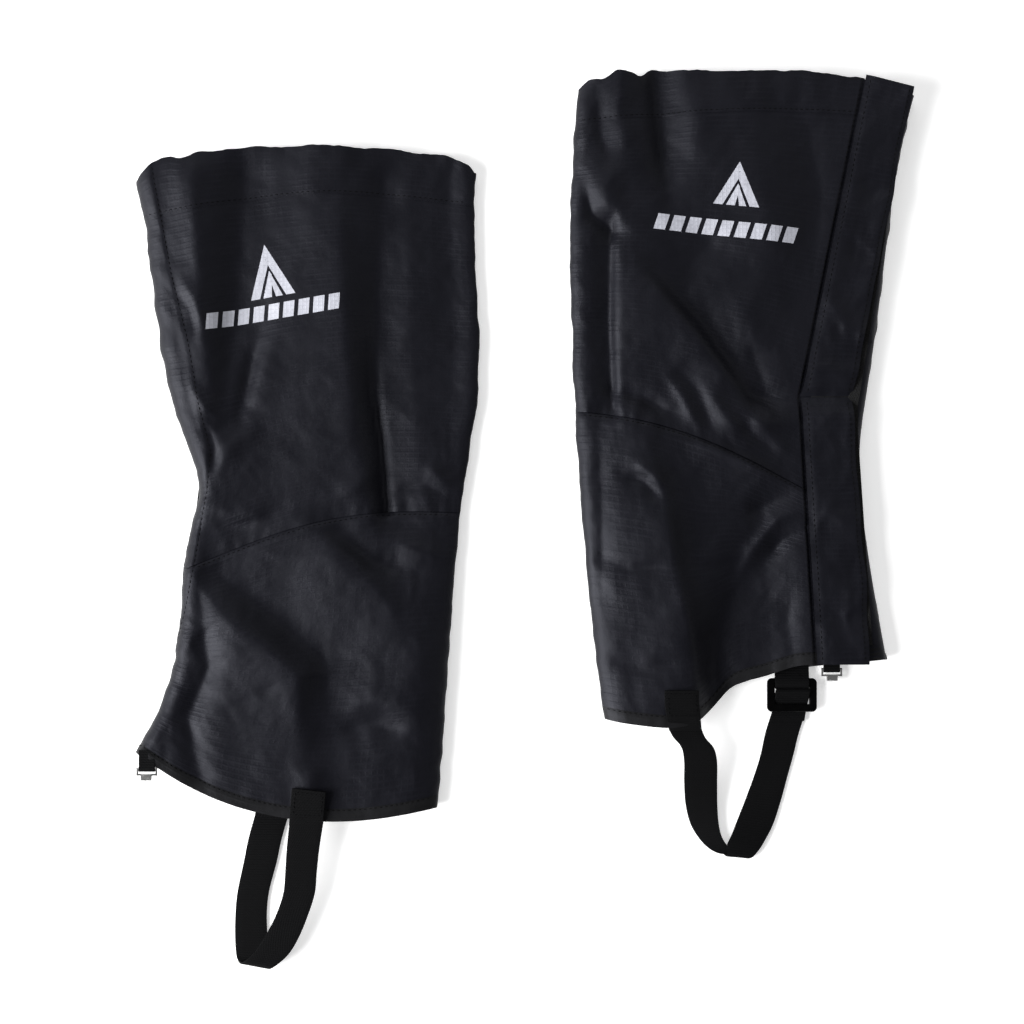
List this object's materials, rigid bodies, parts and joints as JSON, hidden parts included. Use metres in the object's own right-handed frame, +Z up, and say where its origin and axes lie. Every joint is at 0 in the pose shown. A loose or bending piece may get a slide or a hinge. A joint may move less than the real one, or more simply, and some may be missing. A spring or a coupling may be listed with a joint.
{
  "type": "gaiters",
  "caption": "Pair of knee-length nylon leg gaiters with elastic tops, hook-and-loop front flaps, lace hooks and webbing instep straps on slider buckles.",
  "frame": {"origin": "centre of the pair's footprint, on the floor that the gaiters lie on", "axes": "+Z up from the floor, +Y from the instep straps to the calf openings, +X from the left gaiter to the right one"},
  "size_m": [0.486, 0.5583, 0.0164],
  "materials": {
    "nylon_shell": "coated ripstop nylon, low satin sheen",
    "hem_fabric": "plain woven nylon band, dull",
    "elastic_tape": "knitted flat elastic",
    "loop_tape": "brushed loop pile",
    "hook_tape": "fine moulded hooks",
    "webbing": "ribbed woven polyamide webbing",
    "buckle_plastic": "moulded acetal, satin",
    "hook_metal": "nickel-plated steel",
    "printed_mark": "pale screen print"
  },
  "bodies": {
    "left_gaiter": {"left_top_casing": "nylon_shell", "left_top_elastic": "elastic_tape", "left_calf_panel": "nylon_shell", "left_ankle_panel": "nylon_shell", "left_ankle_elastic": "elastic_tape", "left_hem_binding": "hem_fabric", "left_front_margin": "nylon_shell", "left_loop_tape": "loop_tape", "left_strap_sewn_end": "webbing", "left_buckle_tab": "webbing", "left_hook_tab": "webbing"},
    "left_flap_upper": {"left_flap_upper": "nylon_shell", "left_hook_tape_upper": "hook_tape"},
    "left_flap_lower": {"left_flap_lower": "nylon_shell", "left_hook_tape_lower": "hook_tape"},
    "left_strap_loop": {"left_instep_strap": "webbing"},
    "left_strap_buckle": {"left_buckle": "buckle_plastic", "left_strap_buckle_end": "webbing"},
    "left_boot_hook": {"left_lace_hook": "hook_metal"},
    "right_gaiter": {"right_top_casing": "nylon_shell", "right_top_elastic": "elastic_tape", "right_calf_panel": "nylon_shell", "right_ankle_panel": "nylon_shell", "right_ankle_elastic": "elastic_tape", "right_hem_binding": "hem_fabric", "right_front_margin": "nylon_shell", "right_loop_tape": "loop_tape", "right_strap_sewn_end": "webbing", "right_buckle_tab": "webbing", "right_hook_tab": "webbing"},
    "right_flap_upper": {"right_flap_upper": "nylon_shell", "right_hook_tape_upper": "hook_tape"},
    "right_flap_lower": {"right_flap_lower": "nylon_shell", "right_hook_tape_lower": "hook_tape"},
    "right_strap_loop": {"right_instep_strap": "webbing"},
    "right_strap_buckle": {"right_buckle": "buckle_plastic", "right_strap_buckle_end": "webbing"},
    "right_boot_hook": {"right_lace_hook": "hook_metal"}
  },
  "joints": [
    {"name": "right_gaiter_lift", "type": "slide", "parent": "left_gaiter", "child": "right_gaiter", "axis": [0, 0, 1], "range_m": [0, 0.2]},
    {"name": "left_flap_upper_hinge", "type": "hinge", "parent": "left_gaiter", "child": "left_flap_upper", "pos_m": [-0.2051, 0.036, 0.00105], "axis": [-0.2083, 0.9781, 0], "range_deg": [0, 180]},
    {"name": "left_flap_lower_hinge", "type": "hinge", "parent": "left_gaiter", "child": "left_flap_lower", "pos_m": [-0.223, -0.128, 0.00105], "axis": [0.1254, 0.9921, 0], "range_deg": [0, 180]},
    {"name": "right_flap_upper_hinge", "type": "hinge", "parent": "right_gaiter", "child": "right_flap_upper", "pos_m": [0.1715, 0.0763, 0.0153], "axis": [-0.1979, -0.9802, 0], "range_deg": [0, 150]},
    {"name": "right_flap_lower_hinge", "type": "hinge", "parent": "right_gaiter", "child": "right_flap_lower", "pos_m": [0.1814, -0.09, 0.0153], "axis": [0.0596, -0.9982, 0], "range_deg": [0, 150]},
    {"name": "left_strap_fold", "type": "hinge", "parent": "left_gaiter", "child": "left_strap_loop", "pos_m": [-0.15, -0.196, 0.009], "axis": [-1, 0, 0], "range_deg": [0, 90]},
    {"name": "right_strap_fold", "type": "hinge", "parent": "right_gaiter", "child": "right_strap_loop", "pos_m": [0.135, -0.136, 0.009], "axis": [-1, 0, 0], "range_deg": [0, 90]},
    {"name": "left_buckle_tilt", "type": "hinge", "parent": "left_gaiter", "child": "left_strap_buckle", "pos_m": [-0.157, -0.1614, 0.00375], "axis": [-1, 0, 0], "range_deg": [0, 18]},
    {"name": "right_buckle_tilt", "type": "hinge", "parent": "right_gaiter", "child": "right_strap_buckle", "pos_m": [0.167, -0.1014, 0.00375], "axis": [-1, 0, 0], "range_deg": [0, 30]},
    {"name": "left_lace_hook_swing", "type": "hinge", "parent": "left_gaiter", "child": "left_boot_hook", "pos_m": [-0.234, -0.1545, 0.0124], "axis": [-1, 0, 0], "range_deg": [-40, 60]},
    {"name": "right_lace_hook_swing", "type": "hinge", "parent": "right_gaiter", "child": "right_boot_hook", "pos_m": [0.192, -0.0935, 0.0026], "axis": [-1, 0, 0], "range_deg": [0, 60]}
  ]
}
